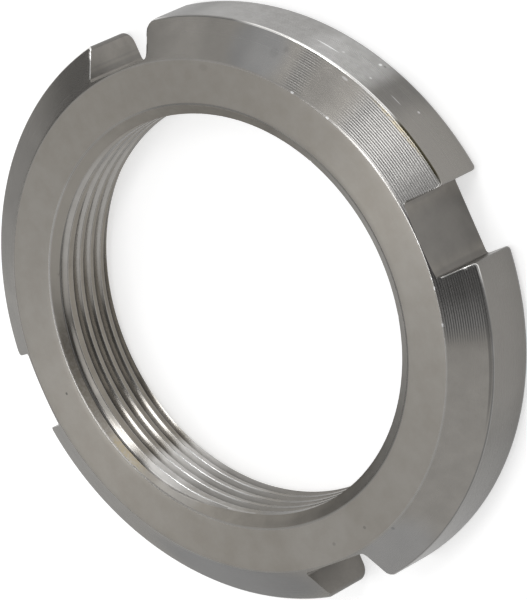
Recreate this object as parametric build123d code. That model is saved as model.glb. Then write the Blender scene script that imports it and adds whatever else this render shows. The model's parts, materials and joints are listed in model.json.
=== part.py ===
from build123d import *
import os
from math import hypot, radians, tan

# Driving dimensions, in millimetres and degrees
thread_diameter = 38.0      # nominal (major) diameter of the fine thread
thread_depth = 0.5          # radial height of the thread, from its root to the bored crest
ring_height = 8.0           # radial height of the ring, from the thread's root to the outer cylinder
width = 8.0                 # height of the nut along its axis
countersink_margin = 0.6    # how far the countersinks open beyond the thread's root, radially
countersink_angle = 34.0    # slope of the countersinks, measured from the end faces
cone_reach = 3.35           # radial reach of the turned cone round the front face
cone_angle = 35.0           # slope of the turned cone, measured from the front face
cone_edge_break = 0.12      # small flat where the cone meets the outer cylinder
back_edge_radius = 0.9      # rounding of the outer edge at the back face
slot_count = 4              # spanner slots, evenly spaced
slot_width = 7.15           # distance between a slot's side walls
slot_depth = 3.3            # depth of a slot, from the outer cylinder to its flat floor
slot_corner_radius = 0.3    # rounding between a slot's floor and its side walls
lug_corner_radius = 0.35    # rounding between a slot's side walls and the outer cylinder

# Sizes that follow from the driving dimensions
bore_radius = thread_diameter / 2 - thread_depth
outer_radius = thread_diameter / 2 + ring_height
countersink_radius = thread_diameter / 2 + countersink_margin
countersink_height = (countersink_radius - bore_radius) * tan(radians(countersink_angle))
front_face_radius = outer_radius - cone_reach
cone_height = cone_reach * tan(radians(cone_angle))
edge_break_height = cone_edge_break * tan(radians(cone_angle))
slot_floor = outer_radius - slot_depth
slot_mouth = outer_radius + slot_depth


def ring_section():
    """Half section of the ring, in the XZ plane, with the back face on Z = 0."""
    corner = outer_radius, width - cone_height
    cone_end = corner[0] - cone_edge_break, corner[1] + edge_break_height
    cylinder_end = corner[0], corner[1] - cone_edge_break
    rounding_start = outer_radius, back_edge_radius
    rounding_end = outer_radius - back_edge_radius, 0
    with BuildSketch(Plane.XZ) as section:
        with BuildLine():
            Polyline(
                rounding_end,
                (countersink_radius, 0),
                (bore_radius, countersink_height),
                (bore_radius, width - countersink_height),
                (countersink_radius, width),
                (front_face_radius, width),
                cone_end,
                cylinder_end,
                rounding_start,
            )
            RadiusArc(rounding_start, rounding_end, back_edge_radius)
        make_face()
    return section.sketch


def slot_section():
    """Plan of one spanner slot, open outwards along +X, with its floor corners rounded."""
    length = slot_mouth - slot_floor
    with BuildSketch() as section:
        with Locations((slot_floor + length / 2, 0)):
            Rectangle(length, slot_width)
        floor_corners = section.vertices().sort_by(Axis.X)[:2]
        fillet(floor_corners, slot_corner_radius)
    return section.sketch


def slotted_disc():
    """Plan of the nut without its bore: a disc with the slots, and with the lugs' corners rounded."""
    with BuildSketch() as section:
        Circle(outer_radius)
        with PolarLocations(0, slot_count):
            add(slot_section(), mode=Mode.SUBTRACT)
        from_axis = section.vertices().sort_by(lambda corner: hypot(corner.X, corner.Y))
        lug_corners = from_axis[-2 * slot_count:]
        fillet(lug_corners, lug_corner_radius)
    return section.sketch


with BuildPart() as nut:
    add(ring_section())
    revolve(axis=Axis.Z)
    with BuildSketch():
        add(slotted_disc())
    extrude(amount=width, mode=Mode.INTERSECT)

lock_nut = nut.part
lock_nut.label = "lock_nut"

os.makedirs("parts", exist_ok=True)
export_step(lock_nut, "parts/lock_nut.step")
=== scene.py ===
"""A slotted lock nut in bare turned steel, lying on its back face on a pale floor."""
import json
from math import atan2, cos, degrees, hypot, pi, radians, sqrt, tan

import bmesh
import bpy
import numpy as np
from mathutils import Matrix, Quaternion, Vector


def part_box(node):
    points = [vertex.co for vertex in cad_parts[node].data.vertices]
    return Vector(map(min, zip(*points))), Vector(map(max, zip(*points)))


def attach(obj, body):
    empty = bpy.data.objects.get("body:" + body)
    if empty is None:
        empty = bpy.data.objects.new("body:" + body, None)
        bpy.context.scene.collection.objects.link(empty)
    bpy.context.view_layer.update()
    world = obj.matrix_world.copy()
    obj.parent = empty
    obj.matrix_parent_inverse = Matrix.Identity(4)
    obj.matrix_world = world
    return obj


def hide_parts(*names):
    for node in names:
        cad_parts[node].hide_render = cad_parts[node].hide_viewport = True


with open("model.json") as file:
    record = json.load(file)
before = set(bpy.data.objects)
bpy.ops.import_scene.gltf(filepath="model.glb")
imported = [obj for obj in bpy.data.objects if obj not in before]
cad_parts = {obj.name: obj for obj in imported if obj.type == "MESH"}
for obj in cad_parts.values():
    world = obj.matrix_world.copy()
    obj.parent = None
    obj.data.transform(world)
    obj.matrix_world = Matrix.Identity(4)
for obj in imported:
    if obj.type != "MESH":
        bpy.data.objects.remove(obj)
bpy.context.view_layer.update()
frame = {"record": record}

MM = 0.001
NODE = "lock_nut"
SEED = 38

# Sizes of the nut as in the solid, in millimetres, and the slopes of its cones
slot_count = 4
slot_width = 7.15
slot_depth = 3.3
slot_corner_radius = 0.3
lug_corner_radius = 0.35
cone_reach = 3.35
cone_slope = tan(radians(35.0))
edge_break = 0.12           # radial width of the break between the cone and the cylinder
back_edge_radius = 0.9
countersink_radius = 19.6
countersink_slope = tan(radians(34.0))

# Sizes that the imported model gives; its box ends at the lugs' rounded corners, which touch the outer circle
_, box_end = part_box(NODE)
width = box_end.z / MM
half_slot = slot_width / 2
corner_centre = box_end.x / MM - lug_corner_radius, half_slot + lug_corner_radius
outer_radius = lug_corner_radius + hypot(*corner_centre)
mounts = {mount["name"]: mount for mount in frame["record"]["mounts"]}
crest_radius = mounts["thread"]["dims"]["r_mm"]

# Sizes that follow
face_radius = outer_radius - cone_reach
face_middle = (countersink_radius + face_radius) / 2
cone_middle = (face_radius + outer_radius) / 2
cone_height = cone_reach * cone_slope
edge_height = width - cone_height
slot_floor = outer_radius - slot_depth
foot_reach = slot_floor + slot_corner_radius        # where a slot's wall meets its rounded floor corner
foot_radius = hypot(foot_reach, half_slot)
period = 2 * pi / slot_count

# The thread's turns, which the solid leaves out
pitch = 1.5
thread_depth = 0.65
crest_flat = 0.5
flank_slope = tan(radians(28.0))
crest_rounding = 0.1
root_rounding = 0.15
crest_phase = -0.14         # height of a crest's middle at angle zero
run_out = 0.27              # how far the last groove, at the front, drifts away from its regular place
run_out_turn = 3.6          # where along the thread, in turns, it begins to drift
run_out_turns = 0.4         # how long it drifts
fade_turn = 4.34            # where along the thread it begins to grow shallow
fade_turns = 0.1            # how long it takes to end
spare_turns = 2             # turns made past each end of the bore, before the countersinks cut them off

# Fine relief of the turned and milled surfaces
groove_count = 19
groove_depth = 0.018
groove_pitch = (cone_reach - edge_break) / groove_count
groove_unevenness = 0.15            # how much the grooves' depths vary, as a share
groove_middle = radians(-78.2)      # the grooves are fresh on both sides of this angle, and worn elsewhere
groove_reach = radians(34.8)
groove_fade = radians(4.0)
groove_trace = 0.02                 # share of the grooves' depth that is left where they are worn
worn_middle = radians(-54.0)        # a patch inside that stretch where the grooves are nearly gone
worn_reach = radians(8.0)
worn_share = 0.97
rim_round = 0.1                     # width of the soft edges round both end faces
wall_bevel = 0.03                   # break along the slot walls' edges
wall_fade = 0.2                     # distance from the cone's foot over which the breaks and burrs set in

# Wear of single lugs, by the lug's number and its end: 0 at its first wall, 1 at its last
worn_corners = {(3, 1): 0.75, (2, 0): 0.5, (0, 1): 0.55}    # radius of the corners that are worn rounder
burred_walls = [(0, 0), (2, 1)]
burr_height = 0.055
burr_points = 24            # how many heights make the burr's ragged edge
burr_lowest = 0.1           # share of its height that the burr always keeps
burr_start = 1.5            # distance from the cylinder where the burr begins to rise
burr_top = 0.8              # distance from the cylinder where it has its full height
burr_inner_share = 0.4      # share of its height before it rises
nicked_wall = (3, 1)
nick_radius = 25.4          # distance of the nick from the axis
nick_depth = 0.3
nick_width = 0.2

# How finely the mesh is divided
lug_steps = 60
floor_steps = 10
corner_steps = 3
lug_corner_steps = 4
arc_steps = 3
groove_rows = 4
face_rows = 7
edge_rows = 3
cylinder_rows = 16
rounding_rows = 6
back_rows = 3
wall_rows = 8
row_pitch = groove_pitch / groove_rows
row_gap = 0.01              # the closest that a groove's row comes to the lugs' feet
cut_margin = 1e-6           # how far a countersink has to cut into the thread to have its own finish there
weld_distance = 2e-7        # in metres
sharp_angle = radians(28.0)

random = np.random.default_rng(SEED)
groove_wear = random.uniform(1 - groove_unevenness, 1 + groove_unevenness, groove_count + 2)

# Radius of the rows over a lug's cone
first_row = np.ceil((foot_radius + row_gap - face_radius) / row_pitch)
cone_rows = face_radius + np.arange(first_row, groove_count * groove_rows) * row_pitch
cone_rows = np.append(foot_radius, cone_rows)
over_cone = slice(len(cone_rows))

# The finishes, by their material's place in the list of nut_materials
FACE, CONE, RIM, EDGE, BURR, CYLINDER, MILLED, COUNTERSINK, CREST, THREAD, BACK = range(11)


class Shell:
    """Collects the nut's surface as grids and flat faces, in millimetres, that meet edge to edge."""

    def __init__(self):
        self.points = []
        self.faces = []
        self.finishes = []
        self.count = 0

    def grid(self, points, finish):
        """Adds a grid of points as four-sided faces; finish is one value, one a row or one a face."""
        rows, columns = points.shape[:2]
        index = np.arange(rows * columns).reshape(rows, columns) + self.count
        quads = np.stack([index[:-1, :-1], index[:-1, 1:], index[1:, 1:], index[1:, :-1]], axis=-1)
        finish = np.array(finish)
        if finish.ndim == 1:
            finish = finish[:, None]
        finish = np.broadcast_to(finish, (rows - 1, columns - 1))
        self.faces += quads.reshape(-1, 4).tolist()
        self.finishes += finish.ravel().tolist()
        self.points.append(points.reshape(-1, 3))
        self.count += rows * columns

    def flat(self, points, finish):
        """Adds one flat face round its outline."""
        self.faces.append(list(range(self.count, self.count + len(points))))
        self.finishes.append(finish)
        self.points.append(points)
        self.count += len(points)

    def mesh(self, name):
        """Welds everything into one closed mesh, in metres."""
        made = bpy.data.meshes.new(name)
        made.from_pydata((np.concatenate(self.points) * MM).tolist(), [], self.faces)
        made.polygons.foreach_set("material_index", self.finishes)
        work = bmesh.new()
        work.from_mesh(made)
        bmesh.ops.remove_doubles(work, verts=work.verts, dist=weld_distance)
        bmesh.ops.dissolve_degenerate(work, edges=work.edges, dist=weld_distance)
        bmesh.ops.recalc_face_normals(work, faces=work.faces)
        open_edges = sum(not edge.is_manifold for edge in work.edges)
        print("nut mesh:", len(work.verts), "points, open edges", open_edges)
        work.to_mesh(made)
        work.free()
        made.shade_smooth()
        made.set_sharp_from_angle(angle=sharp_angle)
        sharpen_walls(made)
        return made


def sharpen_walls(mesh):
    """Marks the outlines of the slot walls, the only faces with more than four corners, as sharp edges."""
    for wall in [face for face in mesh.polygons if face.loop_total > 4]:
        for loop in wall.loop_indices:
            mesh.edges[mesh.loops[loop].edge_index].use_edge_sharp = True


# Shapes that several parts of the nut share


def around(radius, angle, height):
    """Points on the nut from their radius, angle and height."""
    radius, angle, height = np.broadcast_arrays(radius, angle, height)
    return np.stack([radius * np.cos(angle), radius * np.sin(angle), height], axis=-1)


def softened(past):
    """How far past an edge, with the edge itself rounded off."""
    return (past + np.sqrt(past ** 2 + rim_round ** 2 / 2)) / 2


def apart(angle, middle):
    """The angle between two directions round the axis."""
    return np.abs((angle - middle + pi) % (2 * pi) - pi)


def groove_cover(angle):
    """1 where the turning grooves are fresh, falling to a trace where they are worn."""
    fresh = np.clip((groove_reach - apart(angle, groove_middle)) / groove_fade, groove_trace, 1)
    worn = np.clip((worn_reach - apart(angle, worn_middle)) / groove_fade, 0, 1)
    return fresh * (1 - worn_share * worn)


def front_height(radius, angle):
    """Height of the front face and its cone, with the scallops that the turning tool left."""
    past = radius - face_radius
    groove = np.maximum(past, 0) / groove_pitch
    number = np.minimum(groove.astype(int), groove_count + 1)
    scallop = 1 - (2 * (groove - number) - 1) ** 2
    relief = groove_depth * groove_wear[number] * scallop * groove_cover(angle)
    return width - softened(past) * cone_slope - np.where(past > 0, relief, 0)


def countersink_reach(height):
    """Radius of the two countersinks at a height."""
    from_end = np.minimum(height, width - height)
    return countersink_radius - from_end / countersink_slope


def countersink_rim():
    """Radius and depth of the rows that round off a countersink's edge, from its cone to the end face."""
    radius = countersink_radius + rim_round * np.array([-1, -0.5, -0.15, 0.15, 0.5, 1])
    depth = softened(countersink_radius - radius) * countersink_slope
    depth[[0, -1]] = rim_round * countersink_slope, 0
    return radius, depth


def rounded(before, corner, after, radius):
    """Points along the arc that rounds off a corner of a section."""
    before, corner, after = (np.array(point, float) for point in (before, corner, after))
    towards = [(point - corner) / np.linalg.norm(point - corner) for point in (before, after)]
    half_turn = (pi - np.arccos(np.dot(*towards))) / 2
    inward = (towards[0] + towards[1]) / np.linalg.norm(towards[0] + towards[1])
    centre = corner + inward * radius / np.cos(half_turn)
    start, end = (corner + way * radius * np.tan(half_turn) - centre for way in towards)
    share = np.linspace(0, 1, arc_steps + 1)[:, None]
    spokes = np.sin((1 - share) * 2 * half_turn) * start + np.sin(share * 2 * half_turn) * end
    return centre + spokes / np.sin(2 * half_turn)


# Plans of the slots and lugs


def slot_plan():
    """Plan of one slot from wall to wall: the angle and radius of points along its corners and floor."""
    turn = np.linspace(0, pi / 2, corner_steps + 1)
    corner_x = foot_reach - slot_corner_radius * np.sin(turn)
    corner_y = half_slot - slot_corner_radius * (1 - np.cos(turn))
    flat_half = half_slot - slot_corner_radius
    floor_y = np.linspace(flat_half, -flat_half, floor_steps + 1)[1:-1]
    x = np.concatenate([corner_x, np.full(floor_steps - 1, slot_floor), corner_x[::-1]])
    y = np.concatenate([-corner_y, -floor_y, corner_y[::-1]])
    return np.arctan2(y, x), np.hypot(x, y)


def across_lug(number, shares, radius):
    """Angle of points at shares of the way across a lug, from one of its walls to the other."""
    wall = np.arcsin(half_slot / radius)
    return number * period + wall + shares * (period - 2 * wall)


def lug_corner(radius):
    """Columns round a lug's corner: how far across the lug each one lies, and the radius where it ends."""
    centre_y = half_slot + radius
    centre_x = sqrt((outer_radius - radius) ** 2 - centre_y ** 2)
    turn = np.linspace(-pi / 2, atan2(centre_y, centre_x), lug_corner_steps + 1)
    x = centre_x + radius * np.cos(turn)
    y = centre_y + radius * np.sin(turn)
    ends = np.hypot(x, y)
    wall = np.arcsin(half_slot / ends)
    return (np.arctan2(y, x) - wall) / (period - 2 * wall), ends


def lug_columns(number):
    """How far across a lug each column lies, from 0 at one wall to 1 at the other, and where it ends."""
    corners = [lug_corner(worn_corners.get((number, end), lug_corner_radius)) for end in (0, 1)]
    (first, first_ends), (last, last_ends) = corners
    between = np.linspace(first[-1], 1 - last[-1], lug_steps + 1)[1:-1]
    shares = np.concatenate([first, between, 1 - last[::-1]])
    return shares, np.concatenate([first_ends, np.full(len(between), outer_radius), last_ends[::-1]])


def ring_columns():
    """Angle and outer end of every column of the ring inside the lugs, once round and closed."""
    slot_angles, slot_radii = slot_plan()
    angles, ends = [], []
    for number in range(slot_count):
        shares = lug_columns(number)[0][1:-1]
        angles += [slot_angles + number * period, across_lug(number, shares, foot_radius)]
        ends += [slot_radii, np.full(len(shares), foot_radius)]
    angles, ends = np.concatenate(angles), np.concatenate(ends)
    return np.append(angles, angles[0] + 2 * pi), np.append(ends, ends[0])


# The ring inside the lugs


def add_front(shell, angles, ends):
    """The flat front face with its soft edges, and the foot of the cone inside the slots."""
    inner_rim, inner_depth = countersink_rim()
    flat = np.linspace(countersink_radius, face_radius, face_rows + 1)[1:-1]
    outer_rim = face_radius + rim_round * np.array([-1, -0.5, -0.2, 0])
    face = np.concatenate([inner_rim, flat, outer_rim])
    cone = np.append(np.arange(face_radius + row_pitch, foot_radius - row_gap, row_pitch), foot_radius)
    share = (cone - face_radius) / (foot_radius - face_radius)
    cone_part = face_radius + share[:, None] * (ends - face_radius)[None, :]
    radius = np.concatenate([np.repeat(face[:, None], len(angles), axis=1), cone_part])
    height = front_height(radius, angles[None, :])
    height[:len(inner_rim) + len(flat)] = width
    height[:len(inner_rim)] -= inner_depth[:, None]
    finish = [RIM] * (len(inner_rim) - 1) + [FACE] * (len(flat) + 1) + [RIM] * (len(outer_rim) + 1)
    finish += [CONE] * (len(radius) - 1 - len(finish))
    shell.grid(around(radius, angles[None, :], height), finish)


def add_back(shell, angles, ends):
    """The flat back face out to the slots and to the lugs' feet."""
    rim, depth = countersink_rim()
    share = np.linspace(0, 1, face_rows + 1)[1:, None]
    face_part = rim[-1] + share * (ends - rim[-1])[None, :]
    rim_part = np.repeat(rim[:, None], len(angles), axis=1)
    heights = np.append(depth, np.zeros(face_rows))
    finish = [RIM] * (len(rim) - 1) + [BACK] * face_rows
    shell.grid(around(np.concatenate([rim_part, face_part]), angles[None, :], heights[:, None]), finish)


def thread_section():
    """Height and depth of each row across one turn of the thread, from the middle of a crest."""
    crest, crest_end = (0, 0), (crest_flat / 2, 0)
    root_end, root = (crest_flat / 2 + thread_depth * flank_slope, thread_depth), (pitch / 2, thread_depth)
    crest_arc = rounded(crest, crest_end, root_end, crest_rounding)
    root_arc = rounded(crest_end, root_end, root, root_rounding)
    # Rows close to both arcs, so that the crest and the flank between them are shaded flat
    crest_row = crest_arc[:1] * [0.8, 1]
    flank_rows = crest_arc[-1] + np.array([[0.1], [0.9]]) * (root_arc[0] - crest_arc[-1])
    to_root = np.concatenate([[crest], crest_row, crest_arc, flank_rows, root_arc, [root]])
    to_next_crest = to_root[-2:0:-1] * [-1, 1] + [pitch, 0]
    return np.concatenate([to_root, to_next_crest])


def thread_rows(angles):
    """Height and depth of all the thread's rows, which follow the helix, in the column at each angle."""
    section = thread_section()
    turns = np.arange(-spare_turns, int(width / pitch) + spare_turns + 1)
    turned = angles[None, :] / (2 * pi)
    along = np.repeat(turns, len(section))[:, None] + turned
    rest = (section[None, :, 0] + turns[:, None] * pitch).ravel()[:, None] + crest_phase
    drift = run_out * np.clip((along - run_out_turn) / run_out_turns, 0, 1)
    fading = np.clip((along - fade_turn) / fade_turns, 0, 1)
    depth = np.tile(section[:, 1], len(turns))[:, None] * (1 - fading ** 2 * (3 - 2 * fading))
    return rest + pitch * turned + drift, depth


def snap_to_countersink(height, thread):
    """Moves the nearest row of each column, in height and radius, to where thread and countersink meet."""
    over = countersink_reach(height) - thread
    row, column = np.nonzero(over[:-1] * over[1:] < 0)
    below, above = over[row, column], over[row + 1, column]
    share = below / (below - above)
    nearest = row + (share > 0.5)
    moved = []
    for values in (height, thread):
        step = values[row + 1, column] - values[row, column]
        snapped = values.copy()
        snapped[nearest, column] = values[row, column] + share * step
        moved.append(snapped)
    return moved


def highest(values):
    """The highest value among the corners of each face of a grid."""
    pairs = np.maximum(values[:-1], values[1:])
    return np.maximum(pairs[:, :-1], pairs[:, 1:])


def add_bore(shell, angles):
    """The thread's turns, cut off by both countersinks."""
    height, depth = thread_rows(angles)
    rim_depth = rim_round * countersink_slope
    height = np.clip(height, rim_depth, width - rim_depth)
    height, thread = snap_to_countersink(height, crest_radius + depth)
    radius = np.maximum(thread, countersink_reach(height))
    deepest = highest(depth)
    finish = np.where(deepest == 0, CREST, np.where(deepest < crest_rounding, RIM, THREAD))
    finish[highest(radius > thread + cut_margin)] = COUNTERSINK
    shell.grid(around(radius, angles[None, :], height), finish)


# The lugs and slots


def lug_profile(end):
    """Radius and height of a lug column's rows, from the cone's foot to its end and in along the back."""
    squeeze = (end - edge_break - foot_radius) / (outer_radius - edge_break - foot_radius)
    cone_r = foot_radius + (cone_rows - foot_radius) * squeeze
    cone_z = np.full(len(cone_r), width)        # add_lug gives these rows their height
    corner_z = width - (end - face_radius) * cone_slope
    # Four points round the break, from the cone over the edge to the cylinder
    break_r = end - edge_break * np.array([1, 0.4, 0.1, 0])
    break_z = corner_z + np.array([edge_break * cone_slope, 0.01, -0.06, -edge_break])
    cylinder_z = np.linspace(corner_z - edge_break, back_edge_radius, cylinder_rows + 1)[1:]
    turn = np.linspace(0, pi / 2, rounding_rows + 1)[1:]
    rounding_r = end - back_edge_radius * (1 - np.cos(turn))
    rounding_z = back_edge_radius * (1 - np.sin(turn))
    back_r = np.linspace(end - back_edge_radius, foot_radius, back_rows + 1)[1:]
    radius = np.concatenate([cone_r, break_r, np.full(cylinder_rows, end), rounding_r, back_r])
    height = np.concatenate([cone_z, break_z, cylinder_z, rounding_z, np.zeros(back_rows)])
    return radius, height


def lug_finish(columns):
    """Finish of each face of a lug with this many columns of points, without its burrs."""
    rows = [CONE] * len(cone_rows) + [EDGE] * edge_rows
    rows += [CYLINDER] * (cylinder_rows + rounding_rows) + [BACK] * back_rows
    return np.repeat(np.array(rows)[:, None], columns - 1, axis=1)


def cone_cover(radius):
    """1 on a column's rows over the cone, falling to 0 at the cone's foot and along the edge break."""
    from_foot = (radius - foot_radius) / wall_fade
    to_cylinder = (len(cone_rows) + edge_rows - np.arange(len(radius))) / edge_rows
    return np.clip(np.minimum(from_foot, to_cylinder), 0, 1)


def move_out(radii, heights, column, distance):
    """Moves a lug's column outwards along its cone and edge, square to its own profile."""
    radius, height = radii[:, column].copy(), heights[:, column].copy()
    along = np.stack([np.gradient(radius), np.gradient(height)])
    along /= np.linalg.norm(along, axis=0)
    outwards = distance * cone_cover(radius)
    radii[:, column] = radius - outwards * along[1]
    heights[:, column] = height + outwards * along[0]


def burr(radius):
    """Height of the thin ragged burr along a wall's edge, which stands highest near the cylinder."""
    places = np.linspace(foot_radius, outer_radius, burr_points)
    ragged = np.interp(radius, places, random.uniform(burr_lowest, 1, burr_points))
    rise = np.interp(radius, [outer_radius - burr_start, outer_radius - burr_top], [burr_inner_share, 1])
    return burr_height * ragged * rise


def nick(radius):
    """Depth of the nick in a wall's edge."""
    return nick_depth * np.exp(-((radius - nick_radius) / nick_width) ** 2)


def wear_wall(number, end, radii, heights, finish):
    """Breaks the edge along one wall of a lug, and adds the nick or the burr that this wall has, if any."""
    # The wall's column, the column inside it that the burr lifts, and the faces between them
    wall, lip, between = [(0, 2, slice(0, 2)), (-1, -3, slice(-2, None))][end]
    drop = wall_bevel + (nick(radii[:, wall]) if (number, end) == nicked_wall else 0.0)
    move_out(radii, heights, wall, -drop)
    if (number, end) in burred_walls:
        move_out(radii, heights, lip, burr(radii[:, lip]))
        finish[over_cone, between] = BURR


def add_lug(shell, number):
    """One lug between two slots: the cone, the cylinder, the rounded back edge and both slot walls."""
    shares, ends = lug_columns(number)
    radii, heights = np.stack([lug_profile(end) for end in ends], axis=-1)
    heights[over_cone] = front_height(radii, across_lug(number, shares, radii))[over_cone]
    finish = lug_finish(len(shares))
    for end in (0, 1):
        wear_wall(number, end, radii, heights, finish)
    points = around(radii, across_lug(number, shares, radii), heights)
    shell.grid(points, finish)
    for column in (0, -1):
        foot = np.linspace(points[-1, column], points[0, column], wall_rows + 1)[1:-1]
        shell.flat(np.concatenate([points[:, column], foot]), MILLED)


def add_slot(shell, number):
    """One slot's floor and its two rounded corners."""
    slot_angles, slot_radii = slot_plan()
    angles = slot_angles + number * period
    share = np.linspace(0, 1, wall_rows + 1)[::-1, None]
    height = share * front_height(slot_radii, angles)
    shell.grid(around(slot_radii, angles, height), MILLED)


def build_nut():
    """The whole nut as one closed mesh."""
    shell = Shell()
    angles, ends = ring_columns()
    add_front(shell, angles, ends)
    add_back(shell, angles, ends)
    add_bore(shell, angles)
    for number in range(slot_count):
        add_lug(shell, number)
        add_slot(shell, number)
    return shell.mesh("nut_surface")


# Material nodes


def new_material(name):
    """An empty node material, and the tree that it is built in."""
    material = bpy.data.materials.new(name)
    material.use_nodes = True
    material.node_tree.nodes.clear()
    return material, material.node_tree


def add(tree, kind, inputs=None, **settings):
    """Adds a node; an input given as a socket is linked, and any other is set."""
    made = tree.nodes.new(kind)
    for name, value in settings.items():
        setattr(made, name, value)
    for name, value in (inputs or {}).items():
        if isinstance(value, bpy.types.NodeSocket):
            tree.links.new(value, made.inputs[name])
        else:
            made.inputs[name].default_value = value
    return made


def calculate(tree, operation, *values):
    """The result of one sum, product or other calculation."""
    return add(tree, "ShaderNodeMath", dict(enumerate(values)), operation=operation).outputs[0]


def calculate_vector(tree, operation, *vectors):
    """The vector that comes of one calculation with vectors."""
    made = add(tree, "ShaderNodeVectorMath", dict(enumerate(vectors)), operation=operation)
    return made.outputs["Vector"]


def measure(tree, operation, *vectors):
    """The number that comes of one calculation with vectors."""
    made = add(tree, "ShaderNodeVectorMath", dict(enumerate(vectors)), operation=operation)
    return made.outputs["Value"]


def separate(tree, vector):
    """A vector's three numbers."""
    return add(tree, "ShaderNodeSeparateXYZ", {0: vector}).outputs


def combine(tree, x, y, z):
    """Three numbers as a vector."""
    return add(tree, "ShaderNodeCombineXYZ", {0: x, 1: y, 2: z}).outputs[0]


def noise(tree, place, scale, detail=3.0, roughness=0.5):
    """A noise value from 0 to 1 at a place."""
    inputs = {"Vector": place, "Scale": scale, "Detail": detail, "Roughness": roughness}
    return add(tree, "ShaderNodeTexNoise", inputs).outputs["Fac"]


def spread(tree, value, source, target, kind="LINEAR"):
    """A value carried from one range to another, clamped."""
    inputs = {"Value": value, 1: source[0], 2: source[1], 3: target[0], 4: target[1]}
    return add(tree, "ShaderNodeMapRange", inputs, interpolation_type=kind).outputs[0]


def blend(tree, share, first, second):
    """Two colours mixed by a share; the Mix node takes colours at its inputs 6 and 7, and gives one at 2."""
    inputs = {"Factor": share, 6: first, 7: second}
    return add(tree, "ShaderNodeMix", inputs, data_type="RGBA").outputs[2]


def position(tree):
    """The object's own coordinates, in millimetres."""
    place = add(tree, "ShaderNodeTexCoord").outputs["Object"]
    return calculate_vector(tree, "MULTIPLY", place, (1 / MM, 1 / MM, 1 / MM))


def from_axis(tree, place):
    """The way from the axis straight out to a place."""
    return calculate_vector(tree, "MULTIPLY", place, (1, 1, 0))


def ring_place(tree, place):
    """The same place as its radius, its angle in degrees and its height."""
    x, y, z = separate(tree, place)
    angle = calculate(tree, "MULTIPLY", calculate(tree, "ARCTAN2", y, x), degrees(1))
    return combine(tree, measure(tree, "LENGTH", from_axis(tree, place)), angle, z)


def turning_marks(tree, place):
    """Fine marks that run round the axis: noise that changes quickly outwards and along the axis."""
    marks_per_mm = 9.0
    outwards = from_axis(tree, place)
    height = separate(tree, place)[2]
    east, north, _ = separate(tree, calculate_vector(tree, "NORMALIZE", outwards))
    across = calculate(tree, "SUBTRACT", measure(tree, "LENGTH", outwards), height)
    across = calculate(tree, "MULTIPLY", across, marks_per_mm)
    return noise(tree, combine(tree, east, north, across), scale=1.0, detail=2.0)


def milling_marks(tree, place):
    """Fine marks that run along the axis."""
    marks_per_mm = (6.0, 6.0, 0.5)
    return noise(tree, calculate_vector(tree, "MULTIPLY", place, marks_per_mm), scale=1.0)


def spot(tree, ring, middle, size):
    """A soft spot, from 1 round its middle to 0 past its half sizes, in ring coordinates."""
    inner, outer = 0.5, 1.05
    inputs = {"Vector": ring, "Location": middle, "Scale": size}
    local = add(tree, "ShaderNodeMapping", inputs, vector_type="TEXTURE").outputs[0]
    return spread(tree, measure(tree, "LENGTH", local), (inner, outer), (1.0, 0.0), "SMOOTHSTEP")


# Colours


def grey(level, warmth=0.0):
    """A grey that leans to yellow for a positive warmth, and to blue for a negative one."""
    return level * (1 + warmth), level, level * (1 - 1.5 * warmth), 1.0


PIT = grey(0.08, 0.03)
# Painted shade, painted sheen and painted highlights
SHADE = grey(0.12, 0.03)
SHEEN = grey(0.48, 0.01)
SHINE = grey(0.55, 0.02)
# Light scratches and nicks, and painted glints and highlight lines
SCRATCH_AND_GLINT = grey(0.75)
STAIN = (0.30, 0.25, 0.15, 1.0)
# Dark brown mottling: partly grime, partly painted shade
GRIME_AND_SHADE = (0.13, 0.11, 0.08, 1.0)
OLIVE = (0.07, 0.063, 0.04, 1.0)
# Painted highlight and painted shade along the cone's turning grooves
GROOVE_HIGHLIGHT = grey(0.39, 0.02)
GROOVE_SHADE = grey(0.09, 0.02)


def near_angle(tree, angle, middle, reach, share):
    """A share round a direction, falling to 0 as the grooves themselves do."""
    off = calculate(tree, "ABSOLUTE", calculate(tree, "SUBTRACT", angle, degrees(middle)))
    return spread(tree, off, (degrees(reach - groove_fade), degrees(reach)), (share, 0.0))


def painted_groove_light(tree, ring, colour):
    """The cone's colour, with a painted highlight along each groove's crest and painted shade along its
    bottom where the grooves are fresh.
    """
    radius, angle, _ = separate(tree, ring)
    groove = calculate(tree, "DIVIDE", calculate(tree, "SUBTRACT", radius, face_radius), groove_pitch)
    bottom = calculate(tree, "MULTIPLY", calculate(tree, "PINGPONG", groove, 0.5), 2.0)
    worn = near_angle(tree, angle, worn_middle, worn_reach, worn_share)
    fresh = calculate(tree, "SUBTRACT", near_angle(tree, angle, groove_middle, groove_reach, 1.0), worn)
    return blend(tree, fresh, colour, blend(tree, bottom, GROOVE_HIGHLIGHT, GROOVE_SHADE))


def root_shade(tree, ring, colour):
    """The thread's colour, darker towards its root."""
    start, end, strength = crest_radius + 0.35, crest_radius + thread_depth - 0.05, 0.8
    deep = spread(tree, separate(tree, ring)[0], (start, end), (0.0, strength))
    return blend(tree, deep, colour, SHADE)


def with_marks_and_painted_light(tree, place, ring, colour, marks_and_painted_light):
    """A colour with blemishes and painted light and shade laid over it: stains and the grime with painted
    shade are patchy, and painted shine and sheen are cloudy.
    """
    patches = noise(tree, place, scale=4.0)
    clouds = noise(tree, place, scale=1.1, detail=4.0, roughness=0.6)
    patchy = spread(tree, patches, (0.4, 0.55), (0.2, 1.0))
    cloudy = spread(tree, clouds, (0.35, 0.65), (0.72, 1.0))
    uneven = {STAIN: patchy, GRIME_AND_SHADE: patchy, SHINE: cloudy, SHEEN: cloudy}
    for tint, strength, middle, size in marks_and_painted_light:
        share = calculate(tree, "MULTIPLY", spot(tree, ring, middle, size), strength)
        if tint in uneven:
            share = calculate(tree, "MULTIPLY", share, uneven[tint])
        colour = blend(tree, share, colour, tint)
    return colour


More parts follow.
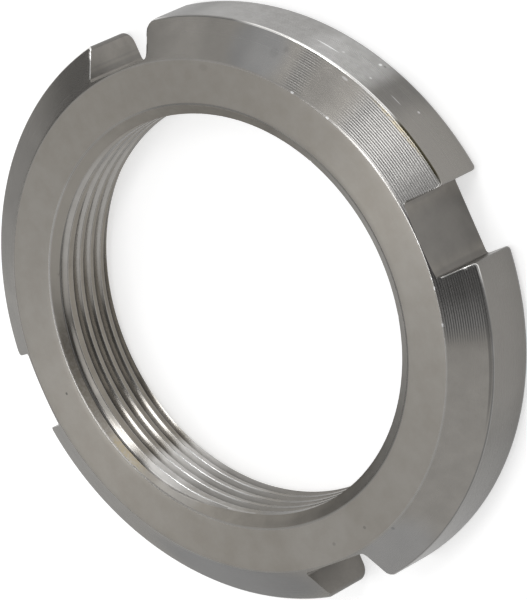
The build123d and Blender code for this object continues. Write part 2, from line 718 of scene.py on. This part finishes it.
# Blemishes, painted light and painted shade of each surface: colour and strength, then a spot's middle and
# half sizes, both as radius, angle in degrees and height. A zone says where a surface's bands lie: the radius
# and height of their middle, then their half sizes outwards and upwards.


def band(zone, colour, strength, angle, reach):
    """A blemish, painted light or painted shade across a whole zone, with its reach in degrees to both sides
    of an angle.
    """
    radius, height, wide, tall = zone
    return colour, strength, (radius, angle, height), (wide, reach, tall)


def seam_bands(zone, colour, strength, reach):
    """A band round the direction where the angle jumps from 180 to -180 degrees, once for each side."""
    return [band(zone, colour, strength, angle, reach) for angle in (-180.0, 180.0)]


def strip(colour, strength, radius, angle, wide, reach):
    """A blemish, painted light or painted shade along a slot's whole height."""
    tall = 9.0
    return colour, strength, (radius, angle, width / 2), (wide, reach, tall)


face_zone = (face_middle, width, 5.0, 1.0)
face_pits_and_painted_light = [
    (PIT, 0.8, (21.1, 92.9, width), (0.14, 0.45, 0.5)),
    (PIT, 0.35, (22.1, -177.1, width), (0.2, 0.6, 0.5)),
    (PIT, 0.4, (22.2, -166.6, width), (0.2, 0.5, 0.5)),
    (PIT, 0.1, (23.0, -24.1, width), (0.4, 1.5, 0.5)),
    # Painted light and painted shade: bands that make one side of the face lighter than the other
    band(face_zone, SHINE, 0.1, -128.0, 50.0),
    band(face_zone, SHINE, 0.09, 62.0, 42.0),
    band(face_zone, SHADE, 0.1, -35.0, 48.0),
    *seam_bands(face_zone, SHINE, 0.14, 13.0),
]

outer_rim_zone = (face_radius, width, 1.0, 1.0)
inner_rim_zone = (countersink_radius, width, 1.0, 1.0)
rim_dots = (-47.6, -57.3, -90.1, -98.1, -100.3, -108.3)     # angles of bright dots along the face's edge
rim_marks_and_painted_light = [
    # Painted highlights and painted shade along the edges of the face and the countersink
    band(outer_rim_zone, SHINE, 0.6, -78.0, 27.0),
    band(outer_rim_zone, SHINE, 0.2, -136.0, 40.0),
    band(inner_rim_zone, SHADE, 0.4, 108.0, 34.0),
    band(inner_rim_zone, SHADE, 0.4, -110.0, 60.0),
    band(inner_rim_zone, SHINE, 0.35, 58.0, 32.0),
    band(inner_rim_zone, SHADE, 0.5, -25.0, 28.0),
    # Painted highlight along the rounded edges of the thread's crests
    (SCRATCH_AND_GLINT, 0.75, (crest_radius, 136.0, width / 2), (0.6, 17.0, 12.0)),
    *[(SCRATCH_AND_GLINT, 0.8, (face_radius, angle, width), (0.25, 0.5, 0.3)) for angle in rim_dots],
]

edge_zone = (outer_radius, edge_height, 1.0, 1.0)
edge_stain_and_painted_shade = [
    band(edge_zone, OLIVE, 1.0, -74.6, 10.0),
    # Painted shade: bands that darken the edge break where it catches no light
    band(edge_zone, SHADE, 0.9, -21.0, 13.0),
    band(edge_zone, SHADE, 0.75, -107.0, 8.0),
    band(edge_zone, SHADE, 0.86, -141.0, 48.0),
    band(edge_zone, SHADE, 0.9, 165.0, 24.0),
]

cone_level = width - cone_height / 2
cone_zone = (cone_middle, cone_level, 6.0, 6.0)
cloud_zone = (cone_middle, cone_level, 4.0, 4.0)
cone_marks_and_painted_light = [
    band(cloud_zone, grey(0.31, -0.05), 0.4, -36.0, 8.0),
    (PIT, 0.1, (25.6, -39.6, cone_level), (0.5, 1.3, 1.0)),
    (PIT, 0.18, (26.2, -41.6, cone_level), (0.4, 0.9, 1.0)),
    (PIT, 0.7, (face_radius + 0.25, -160.5, width - 0.1), (0.2, 0.45, 0.5)),
    (SCRATCH_AND_GLINT, 0.4, (26.6, -55.0, width - 2.0), (0.12, 0.9, 0.6)),
    # Painted light and painted shade: bands that make stretches of the cone lighter or darker as the light
    # falls
    band(cloud_zone, grey(0.35, -0.01), 0.55, -166.0, 13.0),
    band(cloud_zone, grey(0.20, -0.01), 0.75, 152.0, 27.0),
    band(cone_zone, SHINE, 0.07, 8.0, 8.0),
    band(cone_zone, SHADE, 0.3, 108.0, 36.0),
    band(cone_zone, SHADE, 0.2, -28.0, 8.0),
    band(cone_zone, SHADE, 0.2, -50.0, 6.0),
    band(cone_zone, SHADE, 0.22, -69.0, 5.0),
    band(cone_zone, SHINE, 0.25, -80.0, 6.0),
    band(cone_zone, SHADE, 0.3, -99.5, 6.0),
    band(cone_zone, SHADE, 0.45, 38.0, 40.0),
    band(cone_zone, SHADE, 0.25, 42.0, 12.0),
    band(cone_zone, SHADE, 0.22, 79.0, 10.0),
    (STAIN, 0.5, (outer_radius - 0.22, -69.0, edge_height + 0.15), (0.2, 9.0, 0.5)),
    (OLIVE, 0.4, (outer_radius - edge_break, -79.0, edge_height + 0.08), (0.07, 6.0, 0.3)),
    # Painted shade: a dark stripe along the cone's outer edge
    (SHADE, 0.6, (outer_radius - 0.25, -116.0, edge_height + 0.17), (0.15, 16.0, 0.3)),
]

cylinder_zone = (outer_radius, (back_edge_radius + edge_height) / 2, 3.0, 8.0)
cylinder_dots = ((-50.0, 3.3), (-57.8, 4.0), (-68.2, 2.6))      # angle and height of bright dots
cylinder_marks_and_painted_light = [
    # Tinted bands set the cylinder's tone and, as painted light, its brightness round the axis; then painted
    # sheen and painted shade
    band(cylinder_zone, grey(0.24, 0.05), 0.8, -76.0, 12.0),
    band(cylinder_zone, grey(0.20, 0.045), 0.7, -114.0, 22.0),
    band(cylinder_zone, grey(0.20, 0.03), 0.7, -151.0, 22.0),
    band(cylinder_zone, SHEEN, 0.7, -51.8, 9.5),
    band(cylinder_zone, SHEEN, 0.52, -34.0, 19.5),
    band(cylinder_zone, SHADE, 0.7, -11.0, 9.0),
    (PIT, 0.8, (outer_radius, -160.9, 2.9), (0.5, 0.5, 0.2)),
    (PIT, 0.5, (outer_radius, -56.9, 1.3), (0.5, 0.35, 0.16)),
    (SCRATCH_AND_GLINT, 0.9, (outer_radius, -47.1, 3.8), (0.5, 3.0, 0.12)),
    (SCRATCH_AND_GLINT, 0.9, (outer_radius, -56.1, 1.5), (0.5, 0.4, 0.24)),
    (SCRATCH_AND_GLINT, 0.3, (outer_radius, -64.1, 3.8), (0.5, 1.6, 0.09)),
    *[(SCRATCH_AND_GLINT, 0.45, (outer_radius, angle, height), (0.5, 0.35, 0.16)) for angle, height in cylinder_dots],
]

countersink_zone = (countersink_radius - 0.5, width - 0.4, 1.5, 1.0)
mouth_zone = (countersink_radius, width, 1.2, 1.2)
countersink_marks_and_painted_light = [
    # Painted shade, painted sheen and painted light on the countersink, with a real stain
    band(countersink_zone, SHADE, 0.35, 97.0, 32.0),
    # Painted shade, partly grime: the countersink darkens where it mirrors the dark opening
    band(countersink_zone, GRIME_AND_SHADE, 0.5, 97.0, 30.0),
    band(countersink_zone, SHADE, 0.3, 104.0, 6.0),
    band(countersink_zone, SHEEN, 0.3, 133.0, 9.0),
    (SHEEN, 0.4, (countersink_radius - 0.4, -110.0, width - 0.3), (1.5, 65.0, 1.0)),
    band(countersink_zone, grey(0.33, 0.065), 0.7, 40.0, 38.0),
    band(countersink_zone, STAIN, 0.42, 115.0, 8.0),
    *seam_bands(mouth_zone, SHADE, 0.2, 30.0),
]

countersink_foot = width - (countersink_radius - crest_radius) * countersink_slope
bore_zone = (crest_radius, width / 2, 2.0, 12.0)
# Painted reflection: bands that light the crests and flanks where they mirror the lit floor
bore_painted_reflection = [
    band(bore_zone, SHINE, 0.58, 138.0, 21.0),
    band(bore_zone, SHINE, 1.0, 127.0, 9.0),
]
crest_painted_light_and_shade = bore_painted_reflection + [
    # Painted shade: a dark line where the countersink meets the crests, and darker bands
    (SHADE, 0.75, (crest_radius, 58.0, countersink_foot), (0.5, 50.0, 0.16)),
    band(bore_zone, SHADE, 0.6, 17.0, 12.0),
    band(bore_zone, SHADE, 0.6, 168.0, 11.0),
]
thread_painted_light_and_shade = bore_painted_reflection + [
    # Painted highlight and painted light on the flanks, then painted shade
    band(bore_zone, SHINE, 0.3, 111.0, 6.0),
    (SHINE, 0.48, (crest_radius + 0.1, 42.0, width / 2), (0.6, 27.0, 12.0)),
    band(bore_zone, SHADE, 0.3, 100.5, 5.0),
    band(bore_zone, SHADE, 0.28, 150.0, 27.0),
]

slot_marks_and_painted_light = [
    # Painted shade in the slots' corners and on their floors, and painted sheen on a wall
    strip(SHADE, 0.4, 24.5, 8.3, 0.35, 1.2),
    strip(SHADE, 0.3, 25.1, 8.1, 0.13, 1.2),
    strip(SHEEN, 0.4, 26.6, -98.1, 1.6, 1.8),
    strip(SHADE, 0.5, 23.9, -98.1, 1.0, 1.4),
    strip(SHADE, 0.6, slot_floor, -90.0, 0.6, 9.0),
    strip(SHEEN, 0.1, 25.4, 8.1, 2.2, 1.6),
    strip(SHADE, 0.3, 25.5, 171.8, 2.0, 1.8),
    (SHADE, 0.4, (slot_floor, 171.4, width / 2), (1.2, 2.0, 6.0)),
    (SHADE, 0.4, (slot_floor, -81.8, 5.0), (0.6, 1.0, 4.0)),
]

# Frosted places: the middle and half sizes of a spot
crest_frost = [((crest_radius, 138.0, width / 2), (2.0, 22.0, 12.0))]
thread_frost = crest_frost + [((crest_radius + 0.15, 92.0, width - 1.05), (0.4, 20.0, 0.5))]


# The nut's materials


def mottled(tree, place, light, dark):
    """A metal's own colour, which wanders between a light and a dark tone."""
    mottle = noise(tree, place, scale=0.5, detail=4.0, roughness=0.6)
    return blend(tree, spread(tree, mottle, (0.35, 0.65), (0, 1)), dark, light)


def roughened(tree, ring, relief, roughness, frost):
    """A roughness that follows the marks a little, and rises where the surface is frosted."""
    play, frosting = 0.015, 0.3
    rough = spread(tree, relief, (0.3, 0.7), (roughness - play, roughness + play))
    for middle, size in frost:
        added = calculate(tree, "MULTIPLY", spot(tree, ring, middle, size), frosting)
        rough = calculate(tree, "ADD", rough, added)
    return rough


def brushed_shine(tree, amount):
    """The shader's inputs for highlights that stretch across the marks of turning."""
    quarter_turn = 0.25
    tangent = add(tree, "ShaderNodeTangent", direction_type="RADIAL", axis="Z")
    return {"Anisotropic": amount, "Anisotropic Rotation": quarter_turn, "Tangent": tangent.outputs[0]}


def metal(
    name, light, dark, roughness, mark_depth, marks=turning_marks, brushed=0.0, grazing=0.8,
    marks_and_painted_light=(), pattern=None, frost=(),
):
    """A bare metal of mottled colour, with marks as relief, a brushed shine, and its own blemishes with
    painted light and shade.
    """
    material, tree = new_material(name)
    place = position(tree)
    ring = ring_place(tree, place)
    colour = mottled(tree, place, light, dark)
    if pattern:
        colour = pattern(tree, ring, colour)
    relief = marks(tree, place)
    bump = add(tree, "ShaderNodeBump", {"Height": relief, "Distance": mark_depth * MM, "Strength": 1.0})
    inputs = {
        "Base Color": with_marks_and_painted_light(tree, place, ring, colour, marks_and_painted_light),
        "Metallic": 1.0,
        "Roughness": roughened(tree, ring, relief, roughness, frost),
        "Normal": bump.outputs[0],
        "Specular Tint": grey(grazing),
    }
    if brushed:
        inputs.update(brushed_shine(tree, brushed))
    shader = add(tree, "ShaderNodeBsdfPrincipled", inputs)
    add(tree, "ShaderNodeOutputMaterial", {"Surface": shader.outputs[0]})
    return material


def nut_materials():
    """The finishes' materials, in the order of their numbers. Their tones differ more than the steel's do, as
    painted light and shade: the cylinder, the slots and the crests are painted darker, the edge break and the
    burr far lighter.
    """
    return [
        metal(
            "turned_face", light=grey(0.325, 0.06), dark=grey(0.298, 0.07),
            roughness=0.38, mark_depth=0.003, brushed=0.6, grazing=0.6,
            marks_and_painted_light=face_pits_and_painted_light,
        ),
        metal(
            "turned_cone", light=grey(0.325, 0.05), dark=grey(0.293, 0.05),
            roughness=0.26, mark_depth=0.0003, brushed=0.3, grazing=0.58,
            marks_and_painted_light=cone_marks_and_painted_light, pattern=painted_groove_light,
        ),
        metal(
            "soft_edge", light=grey(0.32, 0.04), dark=grey(0.29, 0.04),
            roughness=0.26, mark_depth=0.002,
            marks_and_painted_light=rim_marks_and_painted_light,
        ),
        # Painted highlight: the edge break is coloured far lighter than the steel
        metal(
            "broken_edge", light=grey(0.8, 0.01), dark=grey(0.7, 0.02),
            roughness=0.22, mark_depth=0.002, grazing=1.0,
            marks_and_painted_light=edge_stain_and_painted_shade,
        ),
        # Painted highlight: the burr is coloured far lighter than the steel
        metal(
            "raised_burr", light=grey(0.7, 0.01), dark=grey(0.42, 0.02),
            roughness=0.3, mark_depth=0.002, grazing=1.0,
        ),
        # Painted shade: the cylinder is coloured darker than the steel
        metal(
            "turned_cylinder", light=grey(0.17, 0.04), dark=grey(0.148, 0.04),
            roughness=0.28, mark_depth=0.0006, brushed=0.3, grazing=0.85,
            marks_and_painted_light=cylinder_marks_and_painted_light,
        ),
        # Painted shade: the slots are coloured darker than the steel
        metal(
            "milled_slot", light=grey(0.215, 0.065), dark=grey(0.175, 0.065),
            roughness=0.36, mark_depth=0.004, marks=milling_marks, grazing=1.0,
            marks_and_painted_light=slot_marks_and_painted_light,
        ),
        metal(
            "turned_countersink", light=grey(0.30, 0.07), dark=grey(0.25, 0.07),
            roughness=0.38, mark_depth=0.004, brushed=0.3,
            marks_and_painted_light=countersink_marks_and_painted_light,
        ),
        # Painted shade: the crests are coloured darker than the thread's flanks
        metal(
            "bored_crest", light=grey(0.215, 0.09), dark=grey(0.185, 0.09),
            roughness=0.25, mark_depth=0.001, brushed=0.3,
            marks_and_painted_light=crest_painted_light_and_shade, frost=crest_frost,
        ),
        metal(
            "cut_thread", light=grey(0.35, 0.055), dark=grey(0.32, 0.055),
            roughness=0.17, mark_depth=0.0005, brushed=0.3,
            marks_and_painted_light=thread_painted_light_and_shade, pattern=root_shade, frost=thread_frost,
        ),
        metal(
            "turned_back", light=grey(0.31, 0.05), dark=grey(0.28, 0.06),
            roughness=0.38, mark_depth=0.003, brushed=0.6, grazing=0.6,
        ),
    ]


def add_nut():
    """The nut, which stands for the plain solid."""
    nut = bpy.data.objects.new("nut", build_nut())
    bpy.context.scene.collection.objects.link(nut)
    for material in nut_materials():
        nut.data.materials.append(material)
    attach(nut, "root")
    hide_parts(NODE)


# The studio

floor_half = 4.0            # in metres
floor_height = -0.00002     # just under the nut, in metres
floor_lift = 0.55           # how much light the floor adds where it is seen, so that it shows white
wall_level = 0.72

# Dark openings in the studio's walls: direction, angles where the soft edge begins and ends, and grey level
openings = [
    ((-0.06, -0.27, 0.957), 11.5, 15, 0.07),
    ((-0.27, -0.475, 0.838), 10.5, 12.5, 0.04),
    ((0.0, -0.90, 0.43), 14, 22, 0.15),
    ((0.57, 0.80, 0.05), 10, 32, 0.18),
]

# Soft lights: name, direction, width and height in metres, radiance and lean in degrees
softboxes = [
    ("key_light", (0.335, -0.307, 0.894), 0.30, 0.62, 4.8, -16.0),
    ("top_light", (0.04, 0.14, 0.99), 0.35, 0.6, 5.3, 0.0),
    ("side_light", (0.872, -0.335, 0.36), 0.22, 0.9, 7.0, 0.0),
]
softbox_distance = 1.6      # in metres

# The photograph's camera: the point it looks at, in millimetres, and where it stands from there, in degrees
camera_aim = (-0.14, 1.09, 0.95)
camera_azimuth = 3.6224
camera_elevation = 49.0312
camera_roll = -116.4248
camera_distance = 0.5169    # in metres
focal_length = 347.92       # in millimetres
clip_start = 0.01           # in metres


def add_floor():
    """A plain white floor, lifted to full white where the camera, a reflection or a clear piece sees it."""
    sides = ((-1, -1), (1, -1), (1, 1), (-1, 1))
    corners = [(x * floor_half, y * floor_half, floor_height) for x, y in sides]
    mesh = bpy.data.meshes.new("floor")
    mesh.from_pydata(corners, [], [(0, 1, 2, 3)])
    floor = bpy.data.objects.new("floor", mesh)
    bpy.context.scene.collection.objects.link(floor)
    material, tree = new_material("white_floor")
    rays = add(tree, "ShaderNodeLightPath").outputs
    seen = calculate(tree, "MAXIMUM", rays["Is Camera Ray"], rays["Is Glossy Ray"])
    seen = calculate(tree, "MAXIMUM", seen, rays["Is Transmission Ray"])
    lit = add(tree, "ShaderNodeBsdfDiffuse", {"Color": grey(0.7)})
    lift = add(tree, "ShaderNodeEmission", {"Strength": calculate(tree, "MULTIPLY", seen, floor_lift)})
    both = add(tree, "ShaderNodeAddShader", {0: lit.outputs[0], 1: lift.outputs[0]})
    add(tree, "ShaderNodeOutputMaterial", {"Surface": both.outputs[0]})
    mesh.materials.append(material)


def add_world():
    """Even studio walls with a few dark openings, one of them round the camera's side."""
    world = bpy.data.worlds.new("studio")
    world.use_nodes = True
    tree = world.node_tree
    tree.nodes.clear()
    direction = add(tree, "ShaderNodeTexCoord").outputs["Generated"]
    light = grey(wall_level)
    for opening, inner, outer, level in openings:
        facing = measure(tree, "DOT_PRODUCT", direction, Vector(opening).normalized())
        share = spread(tree, facing, (cos(radians(outer)), cos(radians(inner))), (0, 1))
        light = blend(tree, share, light, grey(level))
    background = add(tree, "ShaderNodeBackground", {"Color": light, "Strength": 1.0})
    add(tree, "ShaderNodeOutputWorld", {"Surface": background.outputs[0]})
    bpy.context.scene.world = world


def add_softbox(name, direction, wide, high, radiance, lean):
    """A rectangular soft light that faces the nut, as bright as the given radiance, turned by its lean."""
    lamp = bpy.data.lights.new(name, "AREA")
    lamp.shape = "RECTANGLE"
    lamp.size, lamp.size_y = wide, high
    lamp.energy = radiance * pi * wide * high
    light = bpy.data.objects.new(name, lamp)
    towards = Vector(direction).normalized()
    light.location = towards * softbox_distance
    light.rotation_mode = "QUATERNION"
    light.rotation_quaternion = towards.to_track_quat("Z", "Y") @ Quaternion((0, 0, 1), radians(lean))
    bpy.context.scene.collection.objects.link(light)


def add_camera():
    """The photograph's camera: it looks down on the front face, turned on its side."""
    data = bpy.data.cameras.new("camera")
    data.lens = focal_length
    data.clip_start = clip_start
    camera = bpy.data.objects.new("camera", data)
    azimuth = Matrix.Rotation(radians(camera_azimuth), 4, "Z")
    elevation = Matrix.Rotation(radians(90.0 - camera_elevation), 4, "X")
    roll = Matrix.Rotation(radians(camera_roll), 4, "Z")
    turn = azimuth @ elevation @ roll
    back = turn @ Vector((0, 0, 1))
    camera.matrix_world = Matrix.Translation(Vector(camera_aim) * MM + back * camera_distance) @ turn
    bpy.context.scene.collection.objects.link(camera)
    bpy.context.scene.camera = camera


add_nut()
add_floor()
add_world()
for softbox in softboxes:
    add_softbox(*softbox)
add_camera()

bpy.context.scene.view_settings.view_transform = "Standard"
